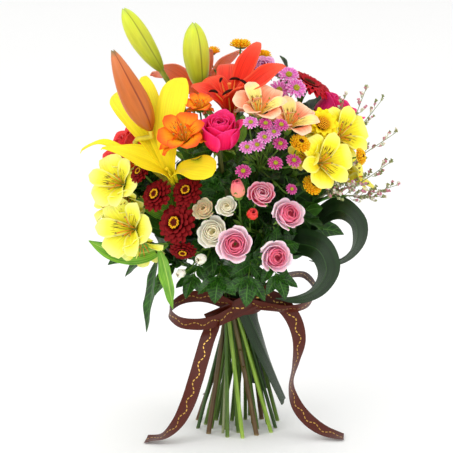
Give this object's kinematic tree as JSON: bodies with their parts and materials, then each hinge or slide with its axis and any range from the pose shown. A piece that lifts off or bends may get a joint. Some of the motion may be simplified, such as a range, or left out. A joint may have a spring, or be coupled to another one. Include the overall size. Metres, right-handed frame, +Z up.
{
  "type": "hand-tied flower bouquet",
  "caption": "Mixed hand-tied bouquet of lilies, roses, daisies and greenery on spiral stems, tied with a satin ribbon bow, standing on its cut stem ends.",
  "frame": {"origin": "centre of the middle stem's cut end, on the surface that the bouquet stands on", "axes": "+Z up along the standing bouquet; +X to the right of its front, where the bow and the open faces of the blooms are; +Y towards its back"},
  "size_m": [0.3531, 0.2737, 0.4841],
  "materials": {
    "bud_russet": "satin",
    "coral": "matte",
    "cream": "matte",
    "dark_red": "matte",
    "gold": "matte",
    "hot_pink": "matte",
    "leaf_dark": "satin",
    "leaf_grey": "satin",
    "lemon": "matte",
    "lilac": "matte",
    "magenta": "matte",
    "orange": "matte",
    "pale_pink": "matte",
    "peach": "matte",
    "red_orange": "matte",
    "ribbon_brown": "satin",
    "stem_brown": "satin",
    "stem_green": "satin",
    "twig_green": "matte",
    "yellow": "matte"
  },
  "bodies": {
    "root": {"alstro_back_blooms": "orange", "alstro_back_stem": "stem_green", "alstro_left_blooms": "lemon", "alstro_left_stem": "stem_green", "alstro_orange_blooms": "orange", "alstro_orange_stem": "stem_green", "alstro_peach_blooms": "peach", "alstro_peach_stem": "stem_green", "alstro_right_blooms": "yellow", "alstro_right_stem": "stem_green", "aspidistra_high": "leaf_grey", "aspidistra_low": "leaf_grey", "button_front_blooms": "gold", "button_front_stem": "stem_green", "button_top_blooms": "gold", "button_top_stem": "stem_green", "daisy_lilac_blooms": "lilac", "daisy_lilac_stem": "stem_green", "daisy_pink_blooms": "lilac", "daisy_pink_stem": "stem_green", "foliage_back_stem": "leaf_dark", "foliage_left_stem": "leaf_dark", "gerbera_bloom": "dark_red", "gerbera_stem": "stem_green", "lily_back_bloom": "red_orange", "lily_back_stem": "stem_green", "lily_orange_bloom": "red_orange", "lily_orange_stem": "stem_green", "lily_russet_bud": "bud_russet", "lily_yellow_bloom": "yellow", "lily_yellow_stem": "stem_green", "limonium_back_stem": "twig_green", "limonium_back_twigs": "twig_green", "limonium_right_stem": "twig_green", "limonium_right_twigs": "twig_green", "mum_back_blooms": "dark_red", "mum_back_stem": "stem_green", "mum_red_blooms": "dark_red", "mum_red_stem": "stem_green", "ribbon_band": "ribbon_brown", "ribbon_bow": "ribbon_brown", "rose_back_bloom": "hot_pink", "rose_back_stem": "stem_green", "rose_coral_bloom": "coral", "rose_coral_stem": "stem_brown", "rose_magenta_bloom": "magenta", "rose_magenta_stem": "stem_brown", "rose_pink_bloom": "hot_pink", "rose_pink_stem": "stem_brown", "spray_rose_back_blooms": "pale_pink", "spray_rose_back_stem": "stem_green", "spray_rose_lilac_blooms": "lilac", "spray_rose_lilac_stem": "stem_green", "spray_rose_pink_blooms": "pale_pink", "spray_rose_pink_stem": "stem_green", "spray_rose_white_blooms": "cream", "spray_rose_white_stem": "stem_green"}
  },
  "joints": []
}
